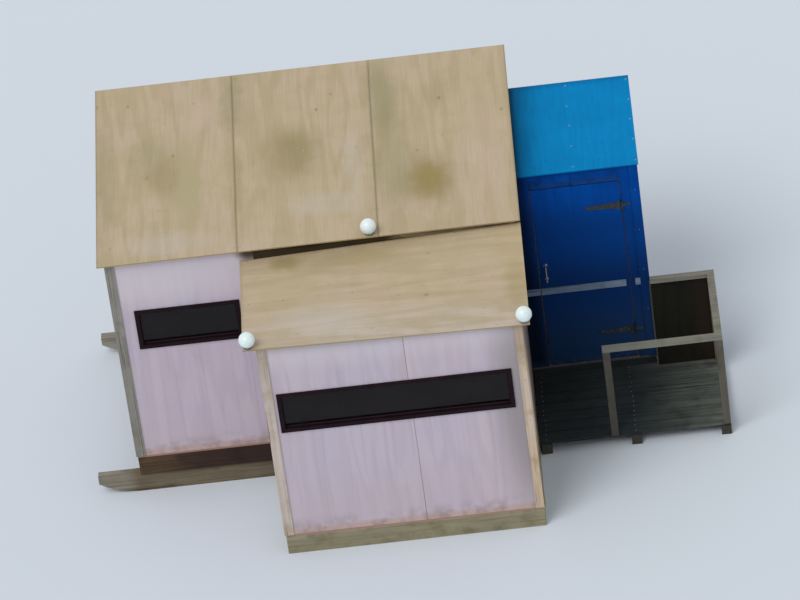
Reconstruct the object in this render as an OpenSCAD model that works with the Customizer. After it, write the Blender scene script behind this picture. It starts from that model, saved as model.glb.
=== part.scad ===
// Plywood ice fishing hut on timber skids, with a lookout bay in front, a small
// entrance lobby on the right and a railed porch before its door.
// X runs to the right seen from the front, Y to the back, Z up. Millimetres.

/* [Boards and timber] */
// Width of one plywood sheet
sheet_w = 1219; // [1000:1:1250]
// Length of one plywood sheet
sheet_l = 2438; // [2300:1:2500]
// Thickness of the wall and roof plywood
ply_t = 12; // [9:0.5:18]
// Thickness of the floor plywood
deck_t = 18; // [12:0.5:25]
// Thickness of the framing timber
stud_t = 38; // [30:1:50]
// Depth of the wall studs
stud_d = 64; // [38:1:89]
// Depth of the rafters
rafter_d = 89; // [70:1:140]
// Spacing of studs and rafters
stud_pitch = 610; // [400:1:700]
// Gap between roof sheets
sheet_gap = 1.5; // [1:0.5:5]

/* [Main room] */
// Height of the front wall
front_h = 2046; // [1980:1:2250]
// Slope of the main roof in degrees
main_angle = 6.6; // [5:0.1:9]
// Roof overhang in front
eave_front = 52; // [30:1:90]
// Roof overhang at the back
eave_back = 60; // [30:1:90]
// Roof overhang at each side
eave_side = 72; // [40:1:110]

/* [Bay] */
// Roof overhang of the bay at its left
bay_over = 122; // [60:1:200]
// Step down from the main roof to the bay roof, halfway along it
bay_step = 95; // [80:1:200]
// Slope of the bay roof from back to front in degrees, halfway along it
bay_angle = 8.5; // [7:0.1:10]
// Rise of the bay roof's back edge to the right in degrees
bay_rise = 1.9; // [0:0.1:2.5]
// Twist of the bay roof between its left and its right wall in degrees
bay_twist_angle = 6.4; // [0:0.1:8]

/* [Lobby] */
// Outer width of the entrance lobby
lobby_w = 1110; // [1050:1:1195]
// Outer depth of the entrance lobby
lobby_d = 1270; // [1150:1:1400]
// Height of the wall over the doorway
door_header_h = 156; // [120:1:300]
// Slope of the lobby roof in degrees
lobby_angle = 4; // [2:0.1:5]
// Distance of the lobby's back wall from the main room's back wall
lobby_setback = 100; // [96:1:150]
// Overhang of the lobby roof
lobby_over = 24; // [10:1:25]

/* [Door] */
// Width of the doorway
door_w = 800; // [700:1:850]
// Height of the doorway above the lobby floor
door_h = 1880; // [1750:1:1950]
// Thickness of the door leaf
leaf_t = 36; // [30:1:45]
// Gap round the door leaf
leaf_gap = 8; // [7:0.5:12]
// Gap between the batten across the door and the handle over it
handle_gap = 86; // [50:1:200]
// Length of the handle
handle_l = 164; // [120:1:200]
// Height of a hinge's knuckle
hinge_len = 90; // [75:1:120]
// Length of a hinge's strap
strap_l = 320; // [240:1:400]

/* [Slot windows] */
// Distance of the bay's slot window from the wall's left end
slot_left = 122; // [110:1:200]
// Distance of the bay's slot window from the wall's right end
slot_right = 158; // [110:1:250]
// Distance of the main room's slot window from both ends of its wall
slot_side = 203; // [150:1:260]
// Height of both slot windows
slot_h = 350; // [250:1:400]
// Height of the bay window's lower edge above the ice
bay_slot_z = 1305; // [1200:1:1400]
// Height of the main room window's lower edge above the ice
main_slot_z = 1540; // [1400:1:1650]
// Width of the window frame's face
casing_w = 24; // [18:1:32]
// Thickness of the glazing
glass_t = 6; // [4:0.5:10]

/* [Base] */
// Height of the skids
skid_h = 184; // [140:1:220]
// Width of the skids
skid_w = 89; // [70:1:120]
// Distance of the skids behind the wall faces
skid_inset = 20; // [10:1:200]
// Length of skid that stands out on the left
nose_out = 380; // [200:1:500]
// Height of the floor joists
joist_h = 184; // [140:1:200]
// Height of the sills under bay and lobby
sill_h = 184; // [140:1:200]

/* [Porch] */
// Outer width of the porch
porch_w = 1690; // [1500:1:1800]
// Outer depth of the porch
porch_d = 1050; // [950:1:1200]
// Height of the top rail above the ice
rail_h = 1040; // [900:1:1100]
// Width of the way in between the hut and the near rail
way_in = 640; // [550:1:800]
// Side of the square posts
post_w = 64; // [45:1:89]
// Thickness of the top rail
rail_t = 38; // [25:1:50]

/* [Lamps] */
// Diameter of the lamp globes
globe_d = 140; // [110:1:180]
// Distance of a lamp's middle from the roof's edges
lamp_inset = 45; // [42:1:120]
// Distance of the main roof's lamp from the joint at its right
lamp_joint_gap = 80; // [45:1:300]

/* [Hidden] */
$fn = 48;

// Seats that lie at a slope stay this far apart, and so do timbers of one frame
seat_gap = 0.3;
wall_t = ply_t + stud_d;

// Joint between two wall sheets: a groove in the outer face
joint_w = 4;
joint_d = 5;

// Depth of a bird's mouth: how far the plates lie below the roof sheets
plate_drop = 40;
small_rafter_d = 64;

// Levels
main_base = skid_h + joist_h + deck_t;
low_base = sill_h + deck_t;

// Main room: three roof sheets side by side, one sheet long, set its width and depth.
// The roof's underside rises from the front wall's face to the back wall's
main_w = 3 * sheet_w + 2 * sheet_gap - 2 * eave_side;
main_d = round(sheet_l * cos(main_angle)) - eave_front - eave_back;
main_slope = tan(main_angle);
back_h = front_h + main_d * main_slope;
function main_under(y) = main_base + front_h + y * main_slope;

// Bay: flush with the main room's right wall, and as wide and deep as one sheet laid across
// covers. Its roof is warped: it falls to the front, and steeper the further right. Its
// underside is straight along every line of one x and along every line of one y
bay_w = round(sheet_l * cos(bay_rise)) - eave_side - bay_over;
bay_x0 = main_w - bay_w;
bay_mid = bay_x0 + bay_w / 2;
bay_back_gap = 6;
bay_d = round(sheet_w * cos(bay_angle)) - eave_front + bay_back_gap;
bay_warp = tan(bay_twist_angle) / bay_w;
function bay_slope(x) = tan(bay_angle) + (x - bay_mid) * bay_warp;
function bay_side_slope(y) = tan(bay_rise) + y * bay_warp;
function bay_under(x, y) =
  main_under(0) - bay_step + (x - bay_mid) * tan(bay_rise) + y * bay_slope(x);

// Lowest place of that underside over a rectangle in plan, which is at one of its corners
function bay_lowest(xs, ys) = min([for (x = xs, y = ys) bay_under(x, y)]);

// Point that lies square over the underside at x and y, as high as up
function over_bay(x, y, up) =
  let (square_out = [-bay_side_slope(y), -bay_slope(x), 1])
  [x, y, bay_under(x, y)] + up * square_out / norm(square_out);

// Point of the bay's roof sheet, whose back edge is straight: u runs along it from its left
// end and v from its front edge to its back edge, each from 0 to 1
bay_roof_x0 = main_w + eave_side - sheet_l * cos(bay_rise);
function bay_sheet_point(u, v, up) =
  let (x = bay_roof_x0 + u * (main_w + eave_side - bay_roof_x0),
       depth = sheet_w * cos(atan(bay_slope(x))))
  over_bay(x, -bay_back_gap - (1 - v) * depth, up);

// Lobby: stands against the main room's right wall
lobby_x0 = main_w;
lobby_x1 = lobby_x0 + lobby_w;
lobby_y1 = main_d - lobby_setback;
lobby_y0 = lobby_y1 - lobby_d;
lobby_slope = tan(lobby_angle);
lobby_front_h = door_h + door_header_h;
function lobby_under(y) = low_base + lobby_front_h + (y - lobby_y0) * lobby_slope;

// Doorway in the lobby's front wall
door_x1 = lobby_x1 - (lobby_w - door_w) / 2;
door_x0 = door_x1 - door_w;
door_top = low_base + door_h;
hinge_x = door_x1 - leaf_gap / 2;
hinge_pin_r = 6;
pin_clear = 0.05;
hinge_eye_r = 10;
hinge_y = lobby_y0 - hinge_eye_r - 1;
hinge_foot = 260;
hinge_head = 300;
hinge_zs = [low_base + hinge_foot, low_base + door_h - hinge_head];
hinge_plate_l = 70;
strap_t = 3;

// Stops round the doorway, which the closed leaf nearly touches
stop_t = 12;
stop_clear = 5;

// Inner doorway between lobby and main room, in the right wall
inner_w = 760;
inner_h = 1800;
inner_y0 = lobby_y0 + (lobby_d - inner_w) / 2;

// Slot windows
slot_w = bay_w - slot_left - slot_right;
small_slot_w = bay_x0 - 2 * slot_side;
glass_back = 30;

// The header over the bay's open back reaches below the ends of the bay's rafters
header_lap = 10;
header_bottom = bay_lowest([bay_x0, main_w], [0]) - small_rafter_d - header_lap;

// Trim
board_w = 70;
board_t = 12;
batten_h = 60;
batten_t = 16;
batten_end = 40;

// Porch
porch_x0 = main_w;
porch_x1 = porch_x0 + porch_w;
porch_y1 = lobby_y0;
porch_y0 = porch_y1 - porch_d;
bearer_h = 89;
deck_board_w = 140;
deck_board_t = 25;
deck_board_gap = 8;
porch_top = bearer_h + deck_board_t;

// Lamps: thickness of the holder and of the globe's shell, radius of its neck, and height
// of its middle over the roof
globe_r = globe_d / 2;
shell_t = 3;
neck_r = globe_r / 2;
holder_t = 5;
ring_h = 12;
neck_h = 2;
globe_z = holder_t + ring_h + neck_h + sqrt(globe_r * globe_r - neck_r * neck_r);

// Origin: middle of the whole hut's box, on the ice. The left front lamp reaches furthest
// to the front
box_x0 = -nose_out;
box_x1 = porch_x1;
box_y0 = bay_sheet_point(lamp_inset / sheet_l, lamp_inset / sheet_w,
  ply_t + seat_gap + globe_z)[1] - globe_r;
box_y1 = main_d + eave_back;
origin = [(box_x0 + box_x1) / 2, (box_y0 + box_y1) / 2, 0];

module block(x0, x1, y0, y1, z0, z1) {
  translate([x0, y0, z0]) cube([x1 - x0, y1 - y0, z1 - z0]);
}

// Puts a piece drawn from the hut's front left corner into the final frame
module placed() {
  translate(-origin) children();
}

// Stands a drawing up: its x runs along a wall, its y up, and it is as thick as t
module upright(t) {
  translate([0, t, 0]) rotate([90, 0, 0]) linear_extrude(t) children();
}

// Outline of a wall, whose top slopes from h0 to h1
module wall_outline(len, h0, h1) {
  polygon([[0, 0], [len, 0], [len, h1], [0, h0]]);
}

// Timber round one opening [x, z, w, h]: a stud each side, a sill and a head
module trimmers(hole, top) {
  translate([hole[0] - stud_t, 0]) square([stud_t, top]);
  translate([hole[0] + hole[2], 0]) square([stud_t, top]);
  translate([hole[0], hole[1] - stud_t]) square([hole[2], stud_t]);
  translate([hole[0], hole[1] + hole[3]]) square([hole[2], stud_t]);
}

// Stud frame of a wall: plates below and above, studs at the pitch and round openings
module frame_outline(len, h0, h1, drop, holes) {
  top = max(h0, h1);
  difference() {
    intersection() {
      wall_outline(len, h0 - drop, h1 - drop);
      union() {
        square([len, stud_t]);
        polygon([[0, h0 - drop - stud_t], [len, h1 - drop - stud_t],
                 [len, h1 - drop], [0, h0 - drop]]);
        square([stud_t, top]);
        translate([len - stud_t, 0]) square([stud_t, top]);
        for (x = [stud_pitch : stud_pitch : len - 2.5 * stud_t])
          translate([x - stud_t / 2, 0]) square([stud_t, top]);
        for (hole = holes) trimmers(hole, top);
      }
    }
    for (hole = holes) translate([hole[0], hole[1]]) square([hole[2], hole[3]]);
  }
}

// A framed wall, outer face on y = 0. The skin runs past the frame by lap0 and lap1, and
// has a groove where one sheet ends and the next begins
module framed_wall(len, h0, h1, lap0 = 0, lap1 = 0, drop = 0, holes = []) {
  slope = (h1 - h0) / len;
  difference() {
    upright(ply_t) difference() {
      wall_outline(len, h0 - seat_gap, h1 - seat_gap);
      for (hole = holes) translate([hole[0], hole[1]]) square([hole[2], hole[3]]);
    }
    for (x = [sheet_w : sheet_w : len - sheet_w / 4])
      translate([x - joint_w / 2, -joint_d, -1]) cube([joint_w, 2 * joint_d, max(h0, h1) + 2]);
  }
  inner = [for (hole = holes) [hole[0] - lap0, hole[1], hole[2], hole[3]]];
  translate([lap0, ply_t, 0]) upright(stud_d)
    frame_outline(len - lap0 - lap1, h0 + lap0 * slope - seat_gap, h1 - lap1 * slope - seat_gap,
      drop, inner);
}

// Places a wall so that its outer face looks left
module facing_left(x, y) {
  translate([x, y, 0]) rotate([0, 0, -90]) children();
}

// Places a wall so that its outer face looks right
module facing_right(x, y) {
  translate([x, y, 0]) rotate([0, 0, 90]) children();
}

// Places a wall so that its outer face looks back
module facing_back(x, y) {
  translate([x, y, 0]) rotate([0, 0, 180]) children();
}

// Skid: a beam whose left end sweeps up in an arc to a blunt nose
module skid(y) {
  lift = skid_h * 0.62;
  radius = (nose_out * nose_out + lift * lift) / (2 * lift);
  steps = 12;
  sweep = [for (i = [0 : steps]) let (x = nose_out * (steps - i) / steps)
    [-x, radius - sqrt(radius * radius - x * x)]];
  placed() translate([0, y, 0]) upright(skid_w)
    polygon(concat([[-nose_out, skid_h]], sweep, [[main_w, 0], [main_w, skid_h]]));
}

module skids() {
  color("#8c7d5f") {
    skid(skid_inset);
    skid(main_d - skid_inset - skid_w);
  }
}

// Floor frame: a rim board on each side and joists between them
module floor_frame(x0, x1, y0, y1, z0, z1, pitch) {
  block(x0, x1, y0, y0 + stud_t, z0, z1);
  block(x0, x1, y1 - stud_t, y1, z0, z1);
  count = ceil((x1 - x0) / pitch);
  for (i = [0 : count]) {
    x = x0 + i * (x1 - x0 - stud_t) / count;
    block(x, x + stud_t, y0 + stud_t + seat_gap, y1 - stud_t - seat_gap, z0, z1);
  }
}

module floor_joists() {
  color("#5a3228") placed()
    floor_frame(0, main_w, 0, main_d, skid_h, skid_h + joist_h, stud_pitch);
}

module main_floor() {
  color("#a08c68") placed() block(0, main_w, 0, main_d, skid_h + joist_h, main_base);
}

main_slot = [slot_side, main_slot_z - main_base, small_slot_w, slot_h];

module front_wall() {
  color("#c9b6c4") placed() translate([ply_t, 0, main_base])
    framed_wall(bay_x0 - ply_t, front_h, front_h, 0, 0, plate_drop,
      [[main_slot[0] - ply_t, main_slot[1], main_slot[2], main_slot[3]]]);
}

module back_wall() {
  h = back_h - ply_t * main_slope;
  color("#c9b6c4") placed() translate([0, 0, main_base]) facing_back(main_w - ply_t, main_d)
    framed_wall(main_w - 2 * ply_t, h, h, 0, 0, plate_drop + stud_d * main_slope);
}

// Side walls: the skin laps the ends of front and back wall, the frame stands between
module left_wall() {
  color("#c9b6c4") placed() translate([0, 0, main_base]) facing_left(0, main_d)
    framed_wall(main_d, back_h, front_h, wall_t, wall_t);
}

module right_wall() {
  hole = [inner_y0, 0, inner_w, inner_h];
  color("#c9b6c4") placed() translate([0, 0, main_base]) facing_right(main_w, 0)
    framed_wall(main_d, front_h, back_h, wall_t, wall_t, 0, [hole]);
}

// Header over the bay's open back, on a post at the right, with the board that closes
// the step above the bay roof
module bay_header() {
  top = main_base + front_h - plate_drop - seat_gap;
  color("#a08c68") placed() {
    block(bay_x0 + seat_gap, main_w - ply_t, ply_t, wall_t, header_bottom, top);
    block(main_w - ply_t - stud_d, main_w - ply_t, ply_t, wall_t, main_base, top);
    block(bay_x0 + seat_gap, main_w - ply_t, 0, ply_t, header_bottom,
      main_base + front_h - seat_gap);
  }
}

// One rafter at x in the YZ plane, depth d, with a seat [from y, to y, height] at each plate
module rafter(x, y0, y1, slope, under0, d, seats) {
  function top(y) = under0 + y * slope - seat_gap;
  translate([x - stud_t / 2, 0, 0]) rotate([90, 0, 90]) linear_extrude(stud_t) difference() {
    polygon([[y0, top(y0)], [y1, top(y1)], [y1, top(y1) - d], [y0, top(y0) - d]]);
    for (seat = seats)
      translate([seat[0], seat[2] - 2 * d]) square([seat[1] - seat[0], 2 * d]);
  }
}

module rafters() {
  pitch = (sheet_w + sheet_gap) / 2;
  color("#b59c6e") placed() for (i = [1 : 5])
    rafter(i * pitch - eave_side - sheet_gap / 2, ply_t + seat_gap, main_d - ply_t - seat_gap,
      main_slope, main_under(0), rafter_d,
      [[0, wall_t, main_under(0) - plate_drop],
       [main_d - wall_t, main_d, main_under(main_d - wall_t) - plate_drop]]);
}

// Roof sheet number i, laid on the slope
module roof_sheet(i) {
  color("#b5a585") placed()
    translate([-eave_side + i * (sheet_w + sheet_gap), -eave_front, main_under(-eave_front)])
      rotate([main_angle, 0, 0]) cube([sheet_w, sheet_l, ply_t]);
}

module roof_sheet_left() {
  roof_sheet(0);
}

module roof_sheet_middle() {
  roof_sheet(1);
}

module roof_sheet_right() {
  roof_sheet(2);
}

// Corner board: two boards in an angle round an outer corner
module corner_board(x, y, sx, sy, z0, z1) {
  translate([x, y, z0]) linear_extrude(z1 - z0) difference() {
    polygon([[-sx * board_t, -sy * board_t], [sx * board_w, -sy * board_t],
             [sx * board_w, sy * board_w], [-sx * board_t, sy * board_w]]);
    polygon([[0, 0], [sx * (board_w + 1), 0], [sx * (board_w + 1), sy * (board_w + 1)],
             [0, sy * (board_w + 1)]]);
  }
}

module main_corner_boards() {
  color("#a9a4a0") placed() {
    corner_board(0, 0, 1, 1, main_base, main_under(-board_t) - 1);
    corner_board(0, main_d, 1, -1, main_base, main_under(main_d - board_w) - 1);
    corner_board(main_w, main_d, -1, -1, main_base, main_under(main_d - board_w) - 1);
  }
}

// Timber sills in a ring on the ice: two long ones and two between them
module sill_ring(x0, x1, y0, y1, w) {
  block(x0, x1, y0, y0 + w, 0, sill_h);
  block(x0, x1, y1 - w, y1, 0, sill_h);
  for (x = [x0, x1 - w])
    block(x, x + w, y0 + w + seat_gap, y1 - w - seat_gap, 0, sill_h);
}

module bay_sills() {
  color("#8c7d5f") placed() sill_ring(bay_x0, main_w, -bay_d, 0, skid_w);
}

module bay_floor() {
  color("#a08c68") placed() block(bay_x0, main_w, -bay_d, 0, sill_h, low_base);
}

// Stands a piece upright on the bay's roof sheet, at u along it and v up its slope
module on_bay_roof(u, v) {
  place = bay_sheet_point(u, v, ply_t + seat_gap);
  side = atan(bay_side_slope(place[1]));
  translate(place) rotate([atan(bay_slope(place[0]) * cos(side)), -side, 0]) children();
}

// Height of a bay wall's end over a rectangle in plan: it stays below the roof all over it
function bay_wall_h(xs, ys) = bay_lowest(xs, ys) - low_base;

module bay_front_wall() {
  hole = [slot_left - ply_t, bay_slot_z - low_base, slot_w, slot_h];
  ys = [-bay_d, wall_t - bay_d];
  color("#c9b6c4") placed() translate([bay_x0 + ply_t, -bay_d, low_base])
    framed_wall(bay_w - 2 * ply_t, bay_wall_h([bay_x0 + ply_t], ys),
      bay_wall_h([main_w - ply_t], ys), 0, 0, plate_drop, [hole]);
}

module bay_left_wall() {
  xs = [bay_x0, bay_x0 + wall_t];
  color("#c9b6c4") placed() translate([0, 0, low_base]) facing_left(bay_x0, 0)
    framed_wall(bay_d, bay_wall_h(xs, [0]), bay_wall_h(xs, [-bay_d]), 0, wall_t);
}

module bay_right_wall() {
  xs = [main_w - wall_t, main_w];
  color("#c9b6c4") placed() translate([0, 0, low_base]) facing_right(main_w, -bay_d)
    framed_wall(bay_d, bay_wall_h(xs, [-bay_d]), bay_wall_h(xs, [0]), wall_t, 0);
}

// Each rafter has its own slope, and its level top keeps below both sides of the warp
module bay_rafters() {
  bays = 4;
  color("#b59c6e") placed() for (i = [1 : bays - 1]) {
    x = bay_x0 + i * bay_w / bays;
    sides = [x - stud_t / 2, x + stud_t / 2];
    back = bay_lowest(sides, [0]);
    front = bay_lowest(sides, [-bay_d]);
    plate = max([for (side = sides) bay_under(side, -bay_d)]) - plate_drop;
    rafter(x, ply_t - bay_d + seat_gap, -seat_gap, (back - front) / bay_d, back,
      small_rafter_d, [[-bay_d, wall_t - bay_d, plate]]);
  }
}

// Warped roof sheet. The cells of its underside are cut along one diagonal and those of its
// top along the other, so that it keeps clear of what it rests on and of what stands on it
module bay_roof_sheet() {
  cells_u = 16;
  cells_v = 6;
  row = cells_v + 1;
  layer = (cells_u + 1) * row;
  points = [for (up = [0, ply_t], i = [0 : cells_u], j = [0 : cells_v])
    bay_sheet_point(i / cells_u, j / cells_v, up)];
  function at(i, j) = i * row + j;
  under = [for (i = [0 : cells_u - 1], j = [0 : cells_v - 1]) each
    [[at(i, j), at(i + 1, j), at(i + 1, j + 1)], [at(i, j), at(i + 1, j + 1), at(i, j + 1)]]];
  top = [for (i = [0 : cells_u - 1], j = [0 : cells_v - 1]) each
    [[layer + at(i, j), layer + at(i, j + 1), layer + at(i + 1, j)],
     [layer + at(i, j + 1), layer + at(i + 1, j + 1), layer + at(i + 1, j)]]];
  edge = concat([for (i = [0 : cells_u - 1]) at(i, 0)],
    [for (j = [0 : cells_v - 1]) at(cells_u, j)],
    [for (i = [cells_u : -1 : 1]) at(i, cells_v)],
    [for (j = [cells_v : -1 : 1]) at(0, j)]);
  rim = [for (k = [0 : len(edge) - 1]) let (a = edge[k], b = edge[(k + 1) % len(edge)]) each
    [[a, layer + a, layer + b], [a, layer + b, b]]];
  color("#b8ac87") placed() polyhedron(points, concat(under, top, rim));
}

// Top of a corner board round the bay's front corner at x, which reaches from x0 to x1
function bay_board_top(x0, x1) =
  bay_lowest([x0, x1], [-bay_d - board_t, board_w - bay_d]) - 1;

module bay_corner_boards() {
  color("#b9aa8c") placed() {
    corner_board(bay_x0, -bay_d, 1, 1, low_base,
      bay_board_top(bay_x0 - board_t, bay_x0 + board_w));
    corner_board(main_w, -bay_d, -1, 1, low_base,
      bay_board_top(main_w - board_w, main_w + board_t));
  }
}

// Casing of a slot window: a frame through the wall with a narrow face outside
module slot_frame(x, y, z, w) {
  translate([x, y, z]) {
    translate([0, -board_t, 0]) upright(board_t) difference() {
      translate([-casing_w, -casing_w]) square([w + 2 * casing_w, slot_h + 2 * casing_w]);
      translate([board_t, board_t]) square([w - 2 * board_t, slot_h - 2 * board_t]);
    }
    upright(glass_back) difference() {
      square([w, slot_h]);
      translate([board_t, board_t]) square([w - 2 * board_t, slot_h - 2 * board_t]);
    }
  }
}

module slot_pane(x, y, z, w) {
  translate([x, y + glass_back, z]) cube([w, glass_t, slot_h]);
}

bay_slot_x = bay_x0 + slot_left;

module slot_frames() {
  color("#2a2426") placed() {
    slot_frame(slot_side, 0, main_slot_z, small_slot_w);
    slot_frame(bay_slot_x, -bay_d, bay_slot_z, slot_w);
  }
}

module slot_glass() {
  color("#14121a") placed() {
    slot_pane(slot_side, 0, main_slot_z, small_slot_w);
    slot_pane(bay_slot_x, -bay_d, bay_slot_z, slot_w);
  }
}

module lobby_sills() {
  color("#3c4450") placed() sill_ring(lobby_x0, lobby_x1, lobby_y0, lobby_y1, stud_d);
}

module lobby_floor() {
  color("#a08c68") placed() block(lobby_x0, lobby_x1, lobby_y0, lobby_y1, sill_h, low_base);
}

module lobby_back_wall() {
  h = lobby_front_h + (lobby_d - ply_t) * lobby_slope;
  color("#0b4fa0") placed() translate([0, 0, low_base]) facing_back(lobby_x1 - ply_t, lobby_y1)
    framed_wall(lobby_w - ply_t, h, h, 0, 0, plate_drop + stud_d * lobby_slope);
}

module lobby_right_wall() {
  color("#0b4fa0") placed() translate([0, 0, low_base]) facing_right(lobby_x1, lobby_y0)
    framed_wall(lobby_d, lobby_front_h, lobby_front_h + lobby_d * lobby_slope, wall_t, wall_t);
}

// Front wall of the lobby beside the doorway, with a stop for the door
stop_y0 = lobby_y0 + leaf_t + stop_clear;
stop_y1 = lobby_y0 + wall_t;

module lobby_front_left() {
  color("#0b3a80") placed() {
    translate([lobby_x0, lobby_y0, low_base])
      framed_wall(door_x0 - lobby_x0, lobby_front_h, lobby_front_h, 0, 0, plate_drop);
    block(door_x0, door_x0 + stop_t, stop_y0, stop_y1, low_base, door_top - seat_gap);
  }
}

module lobby_front_right() {
  color("#0b3a80") placed() {
    translate([door_x1, lobby_y0, low_base])
      framed_wall(lobby_x1 - ply_t - door_x1, lobby_front_h, lobby_front_h, 0, 0, plate_drop);
    block(door_x1 - stop_t, door_x1, stop_y0, stop_y1, low_base, door_top - seat_gap);
  }
}

// Front wall of the lobby over the doorway
module lobby_front_header() {
  color("#0b3a80") placed() {
    translate([door_x0, lobby_y0, door_top])
      framed_wall(door_w, lobby_front_h - door_h, lobby_front_h - door_h, 0, 0, plate_drop);
    block(door_x0 + stop_t + seat_gap, door_x1 - stop_t - seat_gap, stop_y0, stop_y1,
      door_top - stop_t, door_top);
  }
}

module lobby_rafters() {
  color("#b59c6e") placed() for (i = [1 : 2])
    rafter(lobby_x0 + i * (lobby_w - ply_t) / 3, lobby_y0 + ply_t + seat_gap,
      lobby_y1 - ply_t - seat_gap, lobby_slope, lobby_under(0), small_rafter_d,
      [[lobby_y0, lobby_y0 + wall_t, lobby_under(lobby_y0) - plate_drop],
       [lobby_y1 - wall_t, lobby_y1, lobby_under(lobby_y1 - wall_t) - plate_drop]]);
}

module lobby_roof_sheet() {
  color("#0a7cbc") placed()
    translate([lobby_x0 + 1, lobby_y0 - lobby_over, lobby_under(lobby_y0 - lobby_over)])
      rotate([lobby_angle, 0, 0])
        cube([lobby_w + lobby_over - 1, (lobby_d + 2 * lobby_over) / cos(lobby_angle), ply_t]);
}

module lobby_corner_boards() {
  color("#0b3a80") placed() {
    corner_board(lobby_x1, lobby_y0, -1, 1, low_base, lobby_under(lobby_y0 - board_t) - 1);
    corner_board(lobby_x1, lobby_y1, -1, -1, low_base, lobby_under(lobby_y1 - board_w) - 1);
  }
}

// Door leaf: a skin on a frame with a middle rail
module door_leaf() {
  w = door_w - 2 * leaf_gap;
  h = door_h - 2 * leaf_gap;
  rail = 90;
  color("#062c6a") placed() translate([door_x0 + leaf_gap, lobby_y0, low_base + leaf_gap]) {
    upright(ply_t) square([w, h]);
    translate([0, ply_t, 0]) upright(leaf_t - ply_t) difference() {
      square([w, h]);
      translate([rail, rail]) square([w - 2 * rail, h / 2 - 1.5 * rail]);
      translate([rail, h / 2 + rail / 2]) square([w - 2 * rail, h / 2 - 1.5 * rail]);
    }
  }
}

// Hinges: the leaf carries a strap and two eyes, the jamb a plate, one eye and the pin
module door_hinges() {
  third = hinge_len / 3;
  taper = hinge_len / 9;
  color("#3a3d42") placed() for (z = hinge_zs) difference() {
    union() {
      for (dz = [0, 2 * third]) {
        translate([hinge_x, hinge_y, z + dz]) cylinder(h = third, r = hinge_eye_r);
        block(hinge_x - 2 * hinge_eye_r, hinge_x, lobby_y0 - strap_t, lobby_y0, z + dz, z + dz + third);
      }
      block(hinge_x - 4 * hinge_eye_r, hinge_x - 1.5 * hinge_eye_r, lobby_y0 - strap_t, lobby_y0,
        z, z + hinge_len);
      translate([hinge_x - strap_l, lobby_y0 - strap_t, z]) upright(strap_t)
        polygon([[0, third], [0, 2 * third], [strap_l - 2 * hinge_eye_r, hinge_len - taper],
                 [strap_l - 2 * hinge_eye_r, taper]]);
    }
    translate([hinge_x, hinge_y, z - 1]) cylinder(h = hinge_len + 2, r = hinge_pin_r + pin_clear);
  }
}

module hinge_pins() {
  third = hinge_len / 3;
  play = 0.5;
  pin_out = 4;
  color("#3a3d42") placed() for (z = hinge_zs) {
    translate([hinge_x, hinge_y, z - pin_out]) cylinder(h = hinge_len + 2 * pin_out, r = hinge_pin_r);
    translate([hinge_x, hinge_y, z + third + play]) cylinder(h = third - 2 * play, r = hinge_eye_r);
    block(hinge_x, hinge_x + hinge_plate_l, lobby_y0 - strap_t, lobby_y0, z + third + play,
      z + 2 * third - play);
  }
}

// Handle: an upright bar on two posts
handle_inset = 60;
handle_x = door_x0 + leaf_gap + handle_inset;
handle_z = rail_h + handle_gap;
handle_out = 40;
handle_r = 8;
handle_post_r = 7;
handle_end = 12;

module door_handle() {
  color("#8a8d90") placed() {
    for (dz = [handle_end, handle_l - handle_end])
      translate([handle_x, lobby_y0, handle_z + dz]) rotate([90, 0, 0])
        cylinder(h = handle_out, r = handle_post_r);
    translate([handle_x, lobby_y0 - handle_out, handle_z]) cylinder(h = handle_l, r = handle_r);
  }
}

// Pale batten across the lobby's front, level with the porch rail
module door_batten() {
  color("#9fb4cc") placed() block(door_x0 + leaf_gap, door_x1 - batten_end, lobby_y0 - batten_t,
    lobby_y0, rail_h - batten_h, rail_h);
}

module lobby_batten() {
  color("#9fb4cc") placed() {
    block(lobby_x0, door_x0, lobby_y0 - batten_t, lobby_y0, rail_h - batten_h, rail_h);
    block(door_x1 + batten_end, lobby_x1 - board_w, lobby_y0 - batten_t, lobby_y0,
      rail_h - batten_h, rail_h);
  }
}

module porch_bearers() {
  wall_gap = 20;
  first = porch_x0 + wall_gap;
  last = porch_x1 - skid_w;
  color("#5d5a50") placed() for (x = [first, (first + last) / 2, last])
    block(x, x + skid_w, porch_y0, porch_y1, 0, bearer_h);
}

module porch_deck() {
  pitch = deck_board_w + deck_board_gap;
  board_end_gap = 5;
  color("#6c685c") placed() for (y = [porch_y1 - deck_board_w : -pitch : porch_y0])
    block(porch_x0 + board_end_gap, porch_x1, y, y + deck_board_w, bearer_h, porch_top);
}

rail_x0 = porch_x0 + way_in;
far_rail_x0 = lobby_x1 + board_t + seat_gap;

module porch_posts() {
  color("#969280") placed() for (p = [[rail_x0, porch_y0], [porch_x1 - post_w, porch_y0],
                                     [porch_x1 - post_w, porch_y1 - post_w]])
    block(p[0], p[0] + post_w, p[1], p[1] + post_w, porch_top, rail_h - rail_t);
}

module porch_rails() {
  color("#a5a18e") placed() {
    block(rail_x0, porch_x1, porch_y0, porch_y0 + post_w, rail_h - rail_t, rail_h);
    block(porch_x1 - post_w, porch_x1, porch_y0 + post_w + seat_gap, porch_y1 - post_w - seat_gap,
      rail_h - rail_t, rail_h);
    block(far_rail_x0, porch_x1, porch_y1 - post_w, porch_y1, rail_h - rail_t, rail_h);
  }
}

// Panel under the far rail, between the lobby and the far post
module porch_panel() {
  y = porch_y1 - (post_w + ply_t) / 2;
  color("#2a2420") placed() block(far_rail_x0, porch_x1 - post_w - seat_gap, y, y + ply_t,
    porch_top + seat_gap, rail_h - rail_t - seat_gap);
}

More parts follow.
